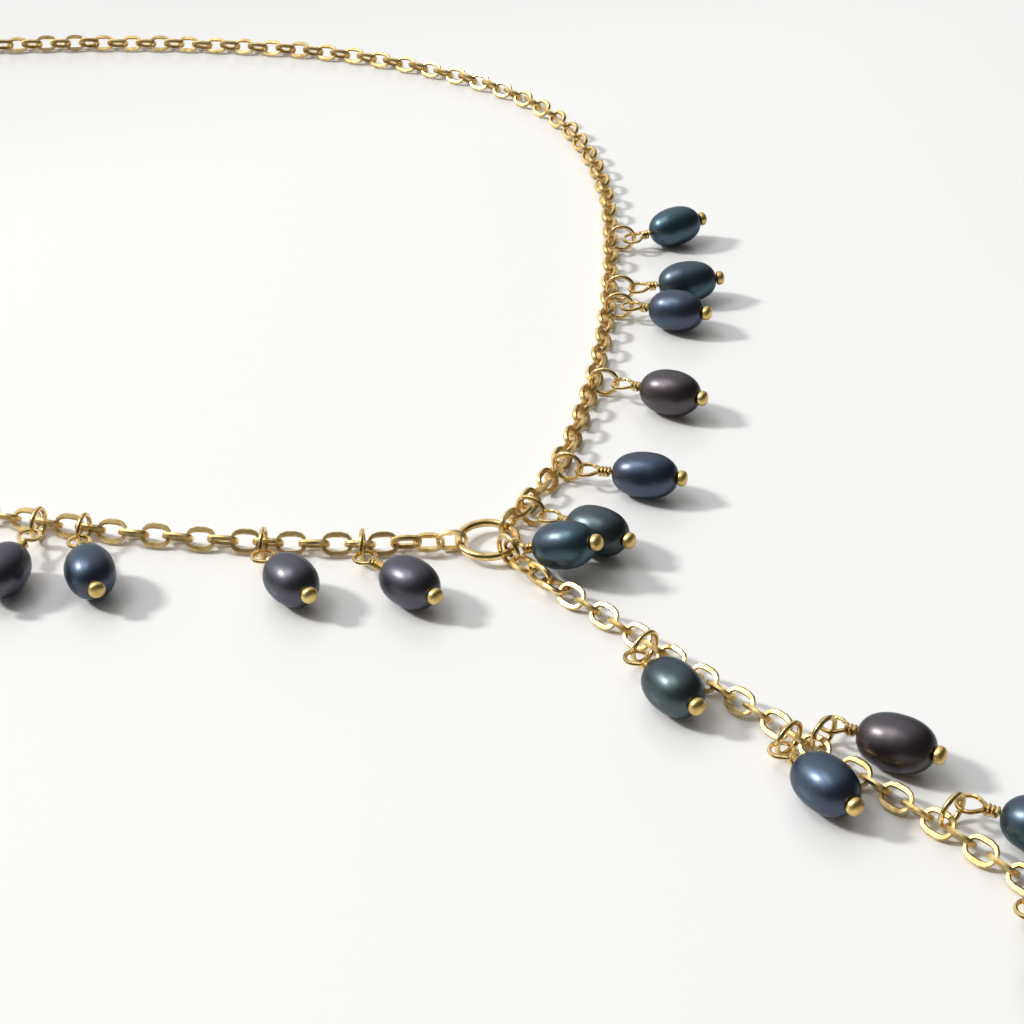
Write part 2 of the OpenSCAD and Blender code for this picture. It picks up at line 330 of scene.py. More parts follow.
def outward(points, faces):
    """The faces of a closed shape turned so that its signed volume, the sum over its triangles of
    corner . (corner x corner) / 6, is above zero."""
    a, b, c, d = (points[faces[:, k]] for k in (0, 1, 2, -1))
    volume = (np.cross(a, b) * c).sum() + (np.cross(a, c) * d).sum()
    return faces if volume > 0 else faces[:, ::-1]


def make_piece(name, shapes, materials, sharp=40, attributes=None):
    """One object at the origin from closed shapes (points in millimetres, faces, finish number).
    Edges that bend more than sharp degrees stay crisp."""
    points, faces, finish, count = [], [], [], 0
    for shape_points, shape_faces, number in shapes:
        quads = outward(shape_points, shape_faces) + count
        faces += [tuple(dict.fromkeys(quad)) for quad in quads.tolist()]
        finish += [number] * len(quads)
        points.append(shape_points)
        count += len(shape_points)
    mesh = bpy.data.meshes.new(name)
    mesh.from_pydata((np.concatenate(points) * MM).tolist(), [], faces)
    mesh.polygons.foreach_set("use_smooth", np.ones(len(faces), bool))
    mesh.polygons.foreach_set("material_index", np.array(finish, np.int32))
    for key, values in (attributes or {}).items():
        mesh.attributes.new(key, "FLOAT", "POINT").data.foreach_set("value", values)
    for material in materials:
        mesh.materials.append(material)
    mesh.set_sharp_from_angle(angle=np.radians(sharp))
    mesh.update()
    piece = bpy.data.objects.new(name, mesh)
    bpy.context.collection.objects.link(piece)
    return piece


def group_sockets(group, inputs, outputs):
    """Gives a shader node group its named inputs, with their usual values, and its outputs."""
    for name, value in inputs.items():
        kind = "NodeSocketColor" if isinstance(value, tuple) else "NodeSocketFloat"
        group.interface.new_socket(name, in_out="INPUT", socket_type=kind).default_value = value
    for name, kind in outputs.items():
        group.interface.new_socket(name, in_out="OUTPUT", socket_type="NodeSocket" + kind)
    return group.nodes.new("NodeGroupInput"), group.nodes.new("NodeGroupOutput")


def noise_at(tree, coordinates, scale, detail, roughness=0.5):
    """A noise texture on those coordinates; scale may be a number or a socket."""
    noise = tree.nodes.new("ShaderNodeTexNoise")
    noise.inputs["Detail"].default_value = detail
    noise.inputs["Roughness"].default_value = roughness
    tree.links.new(coordinates, noise.inputs["Vector"])
    if isinstance(scale, (int, float)):
        noise.inputs["Scale"].default_value = scale
    else:
        tree.links.new(scale, noise.inputs["Scale"])
    return noise


def spread(tree, value, low, high, to_low, to_high):
    """Maps low..high of a value to to_low..to_high and stops there. to_low and
    to_high may be sockets."""
    node = tree.nodes.new("ShaderNodeMapRange")
    tree.links.new(value, node.inputs["Value"])
    ends = {"From Min": low, "From Max": high, "To Min": to_low, "To Max": to_high}
    for name, end in ends.items():
        if isinstance(end, (int, float)):
            node.inputs[name].default_value = end
        else:
            tree.links.new(end, node.inputs[name])
    return node.outputs["Result"]


def blend_colours(tree, factor, first, second):
    """Mixes two colours, each a socket or a plain colour, by a factor socket."""
    mix = tree.nodes.new("ShaderNodeMix")
    mix.data_type = "RGBA"
    tree.links.new(factor, mix.inputs["Factor"])
    for colour, number in ((first, 6), (second, 7)):
        if isinstance(colour, tuple):
            mix.inputs[number].default_value = colour
        else:
            tree.links.new(colour, mix.inputs[number])
    return mix.outputs[2]


# Gilding: polished gold plate that is a little redder and duller in patches, with fine grain
# from pressing and drawing the wire.
gilding = bpy.data.node_groups.new("gilding", "ShaderNodeTree")
given, result = group_sockets(
    gilding,
    {
        "Bright": (0.97, 0.75, 0.36, 1), "Deep": (0.5, 0.32, 0.1, 1), "Patch Scale": 900.0,
        "Grain Scale": 7000.0, "Shine": 0.12, "Dull": 0.3,
    },
    {"Color": "Color", "Roughness": "Float", "Height": "Float"},
)
spot = gilding.nodes.new("ShaderNodeTexCoord").outputs["Object"]
patches = noise_at(gilding, spot, given.outputs["Patch Scale"], 3).outputs["Fac"]
grain = noise_at(gilding, spot, given.outputs["Grain Scale"], 4, 0.7).outputs["Fac"]
depth = spread(gilding, patches, 0.35, 0.7, 0.0, 1.0)
colour = blend_colours(gilding, depth, given.outputs["Bright"], given.outputs["Deep"])
speckle = spread(gilding, grain, 0.52, 0.72, 0.0, 0.5)
colour = blend_colours(gilding, speckle, colour, given.outputs["Deep"])
dullness = gilding.nodes.new("ShaderNodeMath")
dullness.operation = "MULTIPLY_ADD"
gilding.links.new(grain, dullness.inputs[0])
dullness.inputs[1].default_value = 0.5
gilding.links.new(spread(gilding, patches, 0.3, 0.7, 0.0, 0.5), dullness.inputs[2])
roughness = spread(
    gilding, dullness.outputs["Value"], 0.2, 0.8, given.outputs["Shine"], given.outputs["Dull"]
)
gilding.links.new(colour, result.inputs["Color"])
gilding.links.new(roughness, result.inputs["Roughness"])
gilding.links.new(grain, result.inputs["Height"])


def gilt(name, bump, **settings):
    """A gold finish: the gilding group on a metal shader, with its grain as a shallow bump."""
    material, tree, shader = new_material(name, Metallic=1.0)
    group = tree.nodes.new("ShaderNodeGroup")
    group.node_tree = gilding
    for socket, value in settings.items():
        group.inputs[socket.replace("_", " ")].default_value = value
    relief = tree.nodes.new("ShaderNodeBump")
    relief.inputs["Strength"].default_value = bump
    relief.inputs["Distance"].default_value = 2e-5
    tree.links.new(group.outputs["Color"], shader.inputs["Base Color"])
    tree.links.new(group.outputs["Roughness"], shader.inputs["Roughness"])
    tree.links.new(group.outputs["Height"], relief.inputs["Height"])
    tree.links.new(relief.outputs["Normal"], shader.inputs["Normal"])
    return material


pressed_gold = gilt("pressed_gold", 0.6, Shine=0.24, Dull=0.48)

LINK_RUNS = [
    ("right_chain_front", "right", range(0, 45), "neck"),
    ("right_chain_back", "right", range(45, 94), "back_chain"),
    ("left_chain", "left", range(0, 87), "neck"),
    ("drop_chain_upper", "drop", range(0, 11), "drop_top"),
    ("drop_chain_lower", "drop", range(11, 29), "drop_tail"),
]
for node, chain_name, numbers, body in LINK_RUNS:
    links = chain_links(CHAINS[chain_name], np.array(numbers), LINK_SEED)
    piece = make_piece(node + "_links", [(*links, 0)], [pressed_gold])
    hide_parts(node)
    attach(piece, body)

# --- Round ring and jump rings ---
# The round ring that holds the three chains is heavier wire, soldered shut. A jump ring is a
# turn of drawn wire, sawn through and closed, so that a hairline cut shows.
RING_RADIUS, RING_WIRE, RING_Z = 3.5, 1.0, 1.4
JUMP_RADIUS, JUMP_WIRE, JUMP_Z = 1.85, 0.6, 2.2
CUT_DEGREES = 1.0


def capped_tube(loops, poles=None):
    """A closed skin over a row of loops of points, with one point that closes each end: the
    given poles, or the mean of the first and of the last loop."""
    rows, sides = loops.shape[:2]
    poles = loops[[0, -1]].mean(1) if poles is None else poles
    rim = np.arange(sides)
    after = (rim + 1) % sides
    tail, south, north = (rows - 1) * sides, 0 * rim + rows * sides, 0 * rim + rows * sides + 1
    start = np.stack([rim, after, south, south], 1)
    end = np.stack([tail + after, tail + rim, north, north], 1)
    faces = np.concatenate([grid_faces(rows, sides, False, True), start, end])
    return np.concatenate([loops.reshape(-1, 3), poles]), faces


def wire(path, radius, sides, across, closed=False):
    """Round wire along a path of points. Each ring of the grid lies square to the path: its two
    directions are path x across and the cross product of that with the path. Open ends are
    rounded off with a smaller ring and a middle point each."""
    if closed:
        along = np.roll(path, -1, 0) - np.roll(path, 1, 0)
    else:
        along = np.gradient(path, axis=0)
    along /= np.linalg.norm(along, axis=1)[:, None]
    first = np.cross(along, across)
    first /= np.linalg.norm(first, axis=1)[:, None]
    second = np.cross(first, along)
    radius = np.broadcast_to(radius, len(path)).astype(float)
    if not closed:
        path = np.concatenate([path[:1] - along[:1] * 0.3 * radius[0], path,
                               path[-1:] + along[-1:] * 0.3 * radius[-1]])
        first = np.concatenate([first[:1], first, first[-1:]])
        second = np.concatenate([second[:1], second, second[-1:]])
        radius = np.concatenate([radius[:1] * 0.7, radius, radius[-1:] * 0.7])
    turn = np.linspace(0, 2 * np.pi, sides, endpoint=False)[None, :, None]
    circle = first[:, None] * np.cos(turn) + second[:, None] * np.sin(turn)
    loops = path[:, None] + circle * radius[:, None, None]
    if closed:
        return loops.reshape(-1, 3), grid_faces(len(path), sides, True, True)
    return capped_tube(loops)


def wire_ring(radius, wire_size, steps, sides, cut=0.0, cut_at=0.0):
    """A ring of wire in the x-y plane, sawn through over cut degrees at the angle cut_at."""
    if cut == 0:
        angle = np.linspace(0, 2 * np.pi, steps, endpoint=False)
    else:
        angle = np.radians(np.linspace(cut_at + cut / 2, cut_at + 360 - cut / 2, steps))
    path = radius * np.stack([np.cos(angle), np.sin(angle), 0 * angle], 1)
    return wire(path, wire_size / 2, sides, (0, 0, 1), closed=cut == 0)


drawn_gold = gilt("drawn_gold", 0.35, Shine=0.09, Dull=0.24, Patch_Scale=600.0)

ring_shape = wire_ring(RING_RADIUS, RING_WIRE, 72, 16)
piece = make_piece(
    "centre_ring_wire",
    [(*placed(ring_shape, moved_to(home[0] / MM, home[1] / MM, RING_Z)), 0)],
    [drawn_gold],
)
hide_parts("centre_ring")
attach(piece, "neck")


def link_frame(chain_name, number):
    """Matrix that puts x along the chain at a link's middle, on the table."""
    x, y, heading, _, _ = lay_chain(CHAINS[chain_name])
    return moved_to(x[number], y[number], 0) @ turned_about("z", np.degrees(heading[number]))


def upright_ring(matrix, cut_at):
    """A jump ring on edge in the plane through x and z of a frame."""
    shape = wire_ring(JUMP_RADIUS, JUMP_WIRE, 41, 10, CUT_DEGREES, cut_at)
    return placed(shape, matrix @ turned_about("x", 90))


# Pendants: chain, link, side (1 left, -1 right), swing forward from square, spare reach of the
# pin, pearl diameter and length, where the ring sits along the link, pearl finish.
PENDANTS = {
    "right_1": ("right", 1, -1, -6, 0, 6, 8.2, 0, "green"),
    "right_2": ("right", 5, -1, 4, 0.4, 5.9, 8.4, 0, "blue"),
    "right_3": ("right", 13, -1, -19, 0, 6.1, 8.4, 0, "plum"),
    "right_4": ("right", 21, -1, -18, -0.9, 6, 8, 0, "blue"),
    "right_5": ("right", 23, -1, 8, 0, 6, 8.4, 0, "teal"),
    "right_6": ("right", 29, -1, 22, -0.9, 5.9, 8, 0, "teal"),
    "left_1": ("left", 4, 1, -43, 1.1, 6, 8, -0.4, "violet"),
    "left_2": ("left", 8, 1, -38, 0, 6, 7.8, 0.3, "violet"),
    "left_3": ("left", 16, 1, -32, 0.6, 6, 7.8, 0.1, "blue"),
    "left_4": ("left", 18, 1, -4, 1, 5.9, 8, 0.4, "violet"),
    "drop_2": ("drop", 8, -1, 78, 0, 6, 8, 0, "green"),
    "drop_3": ("drop", 16, -1, 78, 0, 6, 8.2, 0.3, "blue"),
    "drop_4": ("drop", 17, 1, 78, -0.9, 6.2, 8.6, -0.3, "plum"),
    "drop_5": ("drop", 23, 1, 76, 0.4, 6, 8.2, 0.3, "teal"),
    "drop_6": ("drop", 28, -1, 62, 0, 6.2, 8.6, 0, "green"),
}
RING_OUT = np.sqrt(JUMP_RADIUS**2 - (JUMP_Z - REST) ** 2)
for name, (chain_name, number, side, *_, slide, _) in PENDANTS.items():
    hang = link_frame(chain_name, number) @ moved_to(slide, side * RING_OUT, JUMP_Z)
    shape = upright_ring(hang @ turned_about("z", 90), 35 + 40 * (number % 5))
    piece = make_piece("ring_" + name + "_wire", [(*shape, 0)], [drawn_gold])
    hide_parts("ring_" + name)
    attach(piece, "pendant_" + name)

DROP_RING_OUT = RING_RADIUS + 0.6
drop_hang = moved_to(home[0] / MM, home[1] / MM, JUMP_Z)
drop_hang = drop_hang @ turned_about("z", CHAINS["drop"]["heading"])
shape = upright_ring(drop_hang @ moved_to(DROP_RING_OUT, 0, 0), 160)
piece = make_piece("drop_ring_wire", [(*shape, 0)], [drawn_gold])
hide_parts("drop_ring")
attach(piece, "drop_top")

# --- Head pins ---
# Half-hard gilt wire with a brushed ball head. The wire goes up through the pearl, round in an
# eye on the jump ring, and is wound back down its own neck.
PIN_WIRE, EYE_SIZE, NECK, HAIR = 0.5, 3.1, 1.35, 0.03
HEAD_SIZE, HEAD_LENGTH = 2.0, 1.2
BACK_POWER, DOME_POWER = 4, 2.3
BACK_REACH, DOME_REACH, HEAD_FIT = 0.5, 0.72, 0.82
HEAD_SHIFT = 0.14
EYE_RADIUS = (EYE_SIZE - PIN_WIRE) / 2
WRAP_STEP = 0.46


def smooth_path(points, steps, passes):
    """The path through points at equal steps, then averaged with its neighbours a few times."""
    ends = points[[0, -1]].copy()
    run = np.concatenate([[0], np.cumsum(np.linalg.norm(np.diff(points, axis=0), axis=1))])
    at = np.linspace(0, run[-1], steps)
    path = np.stack([np.interp(at, run, points[:, k]) for k in range(3)], 1)
    for _ in range(passes):
        path[1:-1] = (path[:-2] + 2 * path[1:-1] + path[2:]) / 4
    path[[0, -1]] = ends
    return path


def turned_shape(x, radius, sides):
    """A profile (x, radius) turned about the x axis. It starts and ends on the axis, with one
    point at each pole."""
    turn = np.linspace(0, 2 * np.pi, sides, endpoint=False)[None, :]
    ring_x, ring_r = x[1:-1, None], radius[1:-1, None]
    grid = np.stack(np.broadcast_arrays(ring_x, ring_r * np.cos(turn), ring_r * np.sin(turn)), -1)
    return capped_tube(grid, np.array([[x[0], 0, 0], [x[-1], 0, 0]]))


def pin_wire(neck, head_x):
    """The pin's wire: straight along x from the head to the eye, once round the eye clockwise,
    up over the neck, and then a helix of step WRAP_STEP down the neck towards the pearl."""
    neck_start = EYE_SIZE / 2
    stem = np.array([[head_x, 0, 0], [neck_start + neck, 0, 0], [neck_start + 0.35, 0, 0]])
    eye_angle = np.radians(np.linspace(-34, -322, 37))
    eye = EYE_RADIUS * np.stack([np.cos(eye_angle), np.sin(eye_angle), 0 * eye_angle], 1)
    wraps = np.floor((neck - 0.1) / WRAP_STEP) + 0.4
    turn = np.linspace(0.17, wraps, 30 * int(wraps + 1))
    angle = 2 * np.pi * turn
    last_x = neck_start + neck - PIN_WIRE / 2
    helix_x = last_x + (turn - wraps) * WRAP_STEP
    reach = PIN_WIRE - 0.02
    helix = np.stack([helix_x, reach * np.cos(angle), reach * np.sin(angle)], 1)
    path = smooth_path(np.concatenate([stem, eye, helix]), 150, 2)
    tilt = np.clip((np.arange(150) - 88) / 14, 0, 1)[:, None]
    across = (1 - tilt) * np.array([[0, 0, 1.0]]) + tilt * np.array([[1.0, 0, 0]])
    return wire(path, PIN_WIRE / 2, 8, across)


def ball_head(head_x):
    """A pressed ball head: radius = half its size times (1 - |x|^p)^(1/p) of the distance x from
    its widest place, with p = 4 on the flatter side that meets the pearl and 2.3 on the dome."""
    across = np.cos(np.linspace(np.pi, 0, 21))
    power = np.where(across < 0, BACK_POWER, DOME_POWER)
    radius = HEAD_SIZE / 2 * (1 - np.abs(across) ** power) ** (1 / power)
    reach = np.where(across < 0, BACK_REACH, DOME_REACH) * HEAD_LENGTH * HEAD_FIT
    return turned_shape(head_x - HEAD_SHIFT * HEAD_LENGTH + across * reach, radius, 24)


satin_gold = gilt(
    "satin_gold", 0.6, Shine=0.3, Dull=0.45, Grain_Scale=5000.0,
    Bright=(0.88, 0.66, 0.27, 1), Deep=(0.62, 0.43, 0.14, 1),
)
EYE_GAP = EYE_RADIUS - PIN_WIRE / 2 - JUMP_WIRE / 2 - 0.05


def pendant_frame(name):
    """Matrix that puts x along a pendant's head pin, from the middle of its eye. The pin leans so
    that the pearl just rests on the table."""
    chain_name, number, side, swing, reach, size, length, slide, _ = PENDANTS[name]
    eye_x = EYE_GAP + min(reach, 0)
    middle = EYE_SIZE / 2 + NECK + max(reach, 0) + HAIR + length / 2
    tilt = np.degrees(np.arcsin((size / 2 + HAIR - JUMP_Z) / (eye_x + middle)))
    hang = link_frame(chain_name, number)
    hang = hang @ moved_to(slide, side * (RING_OUT + JUMP_RADIUS), JUMP_Z)
    lie = turned_about("z", side * (90 - swing)) @ turned_about("y", -tilt)
    return hang @ lie @ moved_to(eye_x, 0, 0)


# The first pearl of the drop: direction from the ring's middle, direction of its pin, height of
# its pearl, pearl diameter, length and finish. Its eye stands upright round the ring's wire.
FIRST_DROP = (-35, -27, 4.3, 5.9, 8, "teal")
FIRST_EYE_X, FIRST_EYE_Z = 0.45, 1.45


def first_drop_frame():
    """Matrix of the pendant that hangs on the round ring itself."""
    out, aim, pearl_z, _, length, _ = FIRST_DROP
    reach = FIRST_EYE_X + EYE_SIZE / 2 + NECK + HAIR + length / 2
    tilt = np.degrees(np.arcsin((pearl_z - FIRST_EYE_Z) / reach))
    hang = moved_to(home[0] / MM, home[1] / MM, 0) @ turned_about("z", out)
    eye = moved_to(RING_RADIUS, 0, FIRST_EYE_Z) @ turned_about("z", aim - out)
    lean_up = turned_about("y", -tilt) @ moved_to(FIRST_EYE_X, 0, 0)
    return hang @ eye @ lean_up @ turned_about("x", 90)


# Every pearl: the frame of its pin, the length of the pin's neck, diameter, length and finish.
PEARLS = {
    name: (pendant_frame(name), NECK + max(row[4], 0), row[5], row[6], row[8])
    for name, row in PENDANTS.items()
}
PEARLS["drop_1"] = (first_drop_frame(), NECK, *FIRST_DROP[3:])
for name, (matrix, neck, _, length, _) in PEARLS.items():
    head_x = EYE_SIZE / 2 + neck + 2 * HAIR + length + HEAD_LENGTH / 2
    shapes = [
        (*placed(pin_wire(neck, head_x), matrix), 0),
        (*placed(ball_head(head_x), matrix), 1),
    ]
    piece = make_piece("pin_" + name + "_wire", shapes, [drawn_gold, satin_gold])
    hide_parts("pin_" + name)
    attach(piece, "pendant_" + name)

# --- Pearls ---
# Dyed freshwater pearls, oval, drilled through their length. Nacre lies in faint rings round
# the long axis, and its overtone drifts from one side of a pearl to the other.
PEARL_RINGS, PEARL_SIDES, BORE = 44, 48, 0.33
FULLNESS, SWELL, GROWTH = 2.25, 0.018, 0.0022
DIMPLE, DIMPLE_REACH = 0.03, 1.6
PEARL_SEED = 100
RIM_TINT = (0.35, 0.42, 0.5, 1)


def pearl_shape(size, length, seed):
    """An oval pearl: radius = half the size times (1 - |x|^FULLNESS)^(1/FULLNESS) at x from its
    middle, less a slow uneven swell, shallow growth rings and a drilled dimple at each end.
    Returns the shape and the overtone at each point."""
    chance = np.random.default_rng(seed)
    along = -np.cos(np.linspace(0, np.pi, PEARL_RINGS))
    profile = size / 2 * (1 - np.abs(along) ** FULLNESS) ** (1 / FULLNESS)
    points, faces = turned_shape(along * length / 2, profile, PEARL_SIDES)
    x = points[:, 0] / (length / 2)
    angle = np.arctan2(points[:, 2], points[:, 1])
    phase = chance.uniform(0, 2 * np.pi, 6)
    amount = chance.uniform(0.3, 1, 6)
    swell = (
        amount[0] * np.cos(angle + phase[0] + 1.3 * x)
        + amount[1] * np.cos(2 * angle + phase[1])
        + amount[2] * np.cos(2.6 * x + phase[2])
        + amount[3] * np.cos(3 * angle - 2 * x + phase[3]) / 2
    )
    inward = SWELL * (swell / 3 - 1)
    rings = sum(
        amount[4 + k] * np.cos(rate * x + phase[4 + k] + 0.25 * np.cos(angle + phase[k]))
        for k, rate in enumerate((11.0, 19.0))
    )
    inward = inward + GROWTH * (rings - 2) * (1 - x**2)
    points[:, 1:] *= (1 + inward)[:, None]
    from_axis = np.hypot(points[:, 1], points[:, 2]) / BORE / DIMPLE_REACH
    points[:, 0] *= 1 - DIMPLE * np.exp(-(from_axis) ** 2)
    drift = 0.5 + 0.5 * np.cos(angle + phase[5] + 0.9 * x)
    drift = 0.75 * drift + 0.25 * (0.5 + 0.5 * np.cos(3.1 * x + phase[4]))
    return points, faces, drift


nacre = bpy.data.node_groups.new("nacre", "ShaderNodeTree")
given, result = group_sockets(
    nacre,
    {"Body": (0.08, 0.18, 0.22, 1), "Overtone": (0.15, 0.14, 0.3, 1), "Drift": 0.5},
    {"Color": "Color", "Roughness": "Float", "Height": "Float"},
)
spot = nacre.nodes.new("ShaderNodeTexCoord").outputs["Object"]
clouds = noise_at(nacre, spot, 260.0, 3).outputs["Fac"]
fine = noise_at(nacre, spot, 2600.0, 4, 0.6).outputs["Fac"]
both = nacre.nodes.new("ShaderNodeMath")
both.operation = "MULTIPLY_ADD"
nacre.links.new(given.outputs["Drift"], both.inputs[0])
both.inputs[1].default_value = 0.7
nacre.links.new(spread(nacre, clouds, 0.3, 0.7, -0.2, 0.5), both.inputs[2])
colour = blend_colours(
    nacre, spread(nacre, both.outputs["Value"], 0.1, 0.9, 0.0, 1.0),
    given.outputs["Body"], given.outputs["Overtone"],
)
dark_spots = spread(nacre, fine, 0.58, 0.8, 0.0, 0.45)
colour = blend_colours(nacre, dark_spots, colour, (0.02, 0.025, 0.03, 1))
nacre.links.new(colour, result.inputs["Color"])
nacre.links.new(spread(nacre, fine, 0.3, 0.7, 0.34, 0.42), result.inputs["Roughness"])
nacre.links.new(fine, result.inputs["Height"])


def pearl_finish(name, body, overtone):
    """Nacre: a dark metallic body colour that gives the deep lustre, under a thin clear coat.
    RIM_TINT keeps the reflection at grazing angles dim and cool."""
    material, tree, shader = new_material(
        name, Metallic=0.92, Coat_Weight=0.6, Coat_Roughness=0.28, Coat_IOR=1.5
    )
    group = tree.nodes.new("ShaderNodeGroup")
    group.node_tree = nacre
    group.inputs["Body"].default_value = (*body, 1)
    group.inputs["Overtone"].default_value = (*overtone, 1)
    drift = tree.nodes.new("ShaderNodeAttribute")
    drift.attribute_name = "overtone"
    relief = tree.nodes.new("ShaderNodeBump")
    relief.inputs["Strength"].default_value = 0.25
    relief.inputs["Distance"].default_value = 2e-5
    tree.links.new(drift.outputs["Fac"], group.inputs["Drift"])
    tree.links.new(group.outputs["Color"], shader.inputs["Base Color"])
    tree.links.new(group.outputs["Roughness"], shader.inputs["Roughness"])
    tree.links.new(group.outputs["Height"], relief.inputs["Height"])
    tree.links.new(relief.outputs["Normal"], shader.inputs["Normal"])
    shader.inputs["Specular Tint"].default_value = RIM_TINT
    return material


NACRES = {
    "teal": pearl_finish("nacre_teal", (0.045, 0.1, 0.125), (0.055, 0.075, 0.11)),
    "green": pearl_finish("nacre_green", (0.065, 0.095, 0.1), (0.04, 0.06, 0.07)),
    "blue": pearl_finish("nacre_blue", (0.055, 0.085, 0.13), (0.06, 0.062, 0.095)),
    "violet": pearl_finish("nacre_violet", (0.085, 0.085, 0.105), (0.07, 0.06, 0.085)),
    "plum": pearl_finish("nacre_plum", (0.07, 0.063, 0.066), (0.075, 0.06, 0.07)),
}
for number, (name, (matrix, neck, size, length, tint)) in enumerate(PEARLS.items()):
    points, faces, overtone = pearl_shape(size, length, PEARL_SEED + number)
    middle = matrix @ moved_to(EYE_SIZE / 2 + neck + HAIR + length / 2, 0, 0)
    shape = placed((points, faces), middle)
    piece = make_piece(
        "pearl_" + name + "_nacre", [(*shape, 0)], [NACRES[tint]], 180, {"overtone": overtone}
    )
    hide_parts("pearl_" + name)
    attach(piece, "pearl_" + name + "_turn")

# --- Clasp and end tag ---
# A cast lobster clasp: a round-edged hook with a flat eye at its tail, a thumb lever on a rivet
# and a small torsion spring. It hooks the large ring of a flat tag at the other end.
CLASP_TAIL, CLASP_HALF, TAIL_HALF = 3.85, 1.1, 0.35
MOUTH_X, MOUTH_RADIUS = 7.4, 1.75
CLAW_X, CLAW_RADIUS = 7.2, 3.0
SHOULDER_X, SHOULDER_HALF, SHOULDER_SLOPE = 1.9, 1.2, 1.65 / 4.5
PIVOT = (4.3, 1.0)
# The claw thins towards its nose: by THIN_SHARE at most, over THIN_OVER from THIN_FROM outwards.
THIN_FROM, THIN_OVER, THIN_SHARE = 3.2, 2.3, 0.55
HOOK_SIDES, HOOK_CORNER = 20, 0.55
COIL_RADIUS, COIL_WIRE, COIL_LOW, COIL_HIGH = 0.47, 0.07, 0.2, 0.4
LEVER_PATH = [
    (3.7, 2.85, -0.2), (3.85, 2.1, -0.2), (4.3, 1.25, -0.2), (5.3, 1.75, -0.1), (6.5, 1.9, 0),
    (8.1, 1.9, 0),
]
LEVER_WIDTHS = (0.42, 0.45, 0.6, 0.45, 0.44, 0.43)
LEVER_HEIGHTS = (0.25, 0.25, 0.25, 0.3, 0.85, 0.95)
TAG_THICKNESS, TAG_Z = 0.8, 1.3


def soft_square(sides, power):
    """Two factors round a section with soft corners: cosine and sine, each to a power below one
    with its sign kept."""
    turn = np.linspace(0, 2 * np.pi, sides, endpoint=False)
    across, up = np.cos(turn), np.sin(turn)
    return np.sign(across) * np.abs(across) ** power, np.sign(up) * np.abs(up) ** power


def hook_shape():
    """The hook as a fan about the middle of its mouth, from the tip round to the shoulder. Each
    ray runs from the mouth to where it leaves the claw's circle or the tapered shank, whichever is
    farther, and carries a soft-cornered section."""
    angle = np.radians(np.linspace(60, -205, 72))
    east, north = np.cos(angle), np.abs(np.sin(angle))
    offset = (CLAW_X - MOUTH_X) * east
    claw = offset + np.sqrt(offset**2 + CLAW_RADIUS**2 - (CLAW_X - MOUTH_X) ** 2)
    shank = MOUTH_X - SHOULDER_X
    to_end = shank / np.maximum(-east, 1e-6)
    steepness = np.maximum(north - SHOULDER_SLOPE * east, 1e-6)
    to_side = (SHOULDER_HALF + SHOULDER_SLOPE * shank) / steepness
    taper = np.minimum(to_end, to_side)
    outer = np.where(taper * east < -0.8, np.maximum(claw, taper), claw)
    outer = np.convolve(np.pad(outer, 2, "edge"), np.ones(5) / 5, "valid")
    across, up = soft_square(HOOK_SIDES, HOOK_CORNER)
    middle, half = (outer + MOUTH_RADIUS) / 2, (outer - MOUTH_RADIUS) / 2
    far = middle[:, None] + half[:, None] * across
    thin = 1 - THIN_SHARE * np.clip((far - THIN_FROM) / THIN_OVER, 0, 1)
    x, y = MOUTH_X + far * east[:, None], far * np.sin(angle)[:, None]
    return capped_tube(np.stack([x, y, CLASP_HALF * up * thin], -1))


def swept_bar(path, half_width, half_height, power=0.6):
    """A bar of soft-cornered section along a path in the x-y plane; each width lies along the
    path's normal."""
    path = np.array(path, float)
    run = np.linspace(0, len(path) - 1, 8 * len(path))
    fine = np.stack([np.interp(run, np.arange(len(path)), path[:, k]) for k in range(3)], 1)
    for _ in range(6):
        fine[1:-1] = (fine[:-2] + 2 * fine[1:-1] + fine[2:]) / 4
    along = np.gradient(fine, axis=0)
    normal = np.cross([0, 0, 1.0], along)
    normal /= np.linalg.norm(normal, axis=1)[:, None]
    knots = np.arange(len(path))
    ends = np.sqrt(np.clip(np.minimum(run, run[-1] - run) * 4, 0.25, 1))
    width = np.interp(run, knots, half_width) * ends
    height = np.interp(run, knots, half_height) * ends
    across, up = soft_square(16, power)
    loops = fine[:, None] + normal[:, None] * (width[:, None] * across)[:, :, None]
    loops[:, :, 2] += height[:, None] * up
    return capped_tube(loops)


def flat_ring(inner, outer, thickness):
    """A stamped ring: a flat section with small chamfers carried round a circle."""
    around = np.linspace(0, 2 * np.pi, 56, endpoint=False)[:, None]
    edge = np.array([0, 0.12, 0.88, 1, 1, 0.88, 0.12, 0])
    level = np.array([0.36, 0.5, 0.5, 0.36, -0.36, -0.5, -0.5, -0.36])
    radius = inner + (outer - inner) * edge
    x, y = radius * np.cos(around), radius * np.sin(around)
    grid = np.stack(np.broadcast_arrays(x, y, level * thickness), -1)
    return grid.reshape(-1, 3), grid_faces(56, 8, True, True)


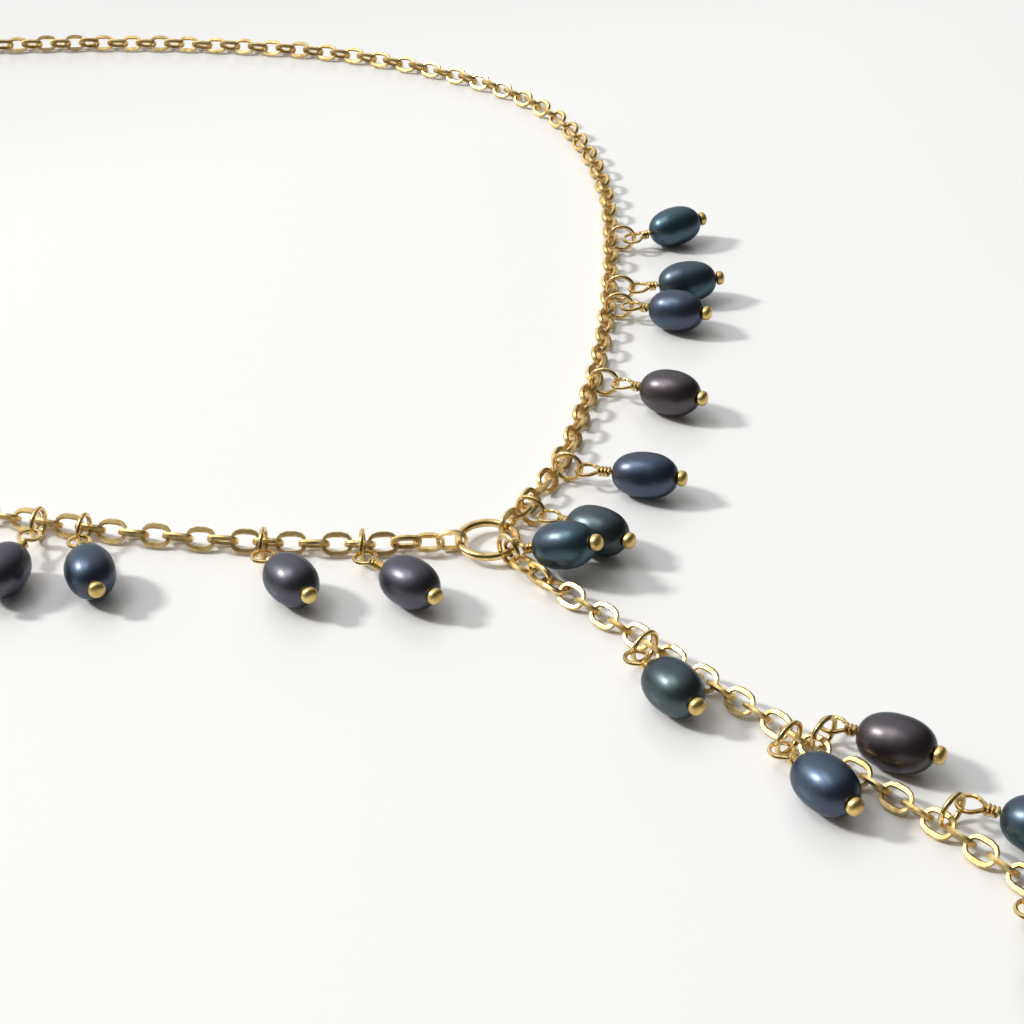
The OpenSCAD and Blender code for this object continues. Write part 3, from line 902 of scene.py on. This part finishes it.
cast_gold = gilt("cast_gold", 0.4, Shine=0.12, Dull=0.28, Patch_Scale=400.0)
spring_steel = gilt(
    "spring_steel_wire", 0.2, Shine=0.2, Dull=0.35,
    Bright=(0.6, 0.6, 0.61, 1), Deep=(0.4, 0.4, 0.41, 1),
)
clasp_end = link_frame("right", 93)
clasp_frame = clasp_end @ moved_to(CLASP_TAIL, 0, CLASP_HALF)
tail_bar = swept_bar([(1.1, 0, 0), (1.9, 0, 0), (2.9, 0, 0)], (1, 1.1, 1.1), (0.33, 0.34, 0.6))
hook = [
    (*placed(hook_shape(), clasp_frame), 0),
    (*placed(flat_ring(0.9, 1.5, 2 * TAIL_HALF), clasp_frame), 0),
    (*placed(tail_bar, clasp_frame), 0),
]
lever = [(*placed(swept_bar(LEVER_PATH, LEVER_WIDTHS, LEVER_HEIGHTS), clasp_frame), 0)]
# The rivet's profile along its own length, with both edges broken.
rivet_x = np.array([-1.1, -1.08, -1.02, 0, 1.02, 1.08, 1.1])
rivet_radius = np.array([0, 0.17, 0.3, 0.3, 0.3, 0.17, 0])
on_pivot = clasp_frame @ moved_to(*PIVOT, 0)
rivet = [(*placed(turned_shape(rivet_x, rivet_radius, 20), on_pivot @ turned_about("y", 90)), 0)]
# The spring: two turns round the rivet, and a straight leg at each end.
turns = np.radians(np.linspace(-90, 630, 73))
rise = np.linspace(COIL_LOW, COIL_HIGH, 73)
coil = np.stack([COIL_RADIUS * np.cos(turns), COIL_RADIUS * np.sin(turns), rise], 1)
legs = [[-1.05, -COIL_RADIUS, COIL_LOW]], [[0.7, -COIL_RADIUS, COIL_HIGH]]
coil = np.concatenate([legs[0], coil, legs[1]])
spring = [(*placed(wire(smooth_path(coil, 120, 1), COIL_WIRE, 6, (0, 0, 1)), on_pivot), 0)]
clasp_hang = clasp_end @ moved_to(CLASP_TAIL - 1.3, 0, JUMP_Z)
tag_frame = link_frame("left", 86) @ moved_to(0, 0, TAG_Z)
tag = [
    (*placed(flat_ring(0.85, 1.7, TAG_THICKNESS), tag_frame @ moved_to(1.625, 0, 0)), 0),
    (*placed(flat_ring(2, 3, TAG_THICKNESS), tag_frame @ moved_to(5.7, 0, 0)), 0),
]
clasp_jump_ring = [(*upright_ring(clasp_hang, 200), 0)]
CLOSURE = [
    ("clasp_body", "_hook", hook, cast_gold, "back_chain", "gold_clasp"),
    ("clasp_lever", "_bar", lever, cast_gold, "lever", "gold_clasp"),
    ("clasp_rivet", "_pin", rivet, cast_gold, "back_chain", "gold_clasp"),
    ("clasp_spring", "_coil", spring, spring_steel, "back_chain", "spring_steel"),
    ("clasp_ring", "_wire", clasp_jump_ring, drawn_gold, "back_chain", "gold_ring"),
    ("end_tag", "_rings", tag, cast_gold, "neck", "gold_clasp"),
]
for node, ending, shapes, material, body, slot in CLOSURE:
    piece = make_piece(node + ending, shapes, [material])
    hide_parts(node)
    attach(piece, body)
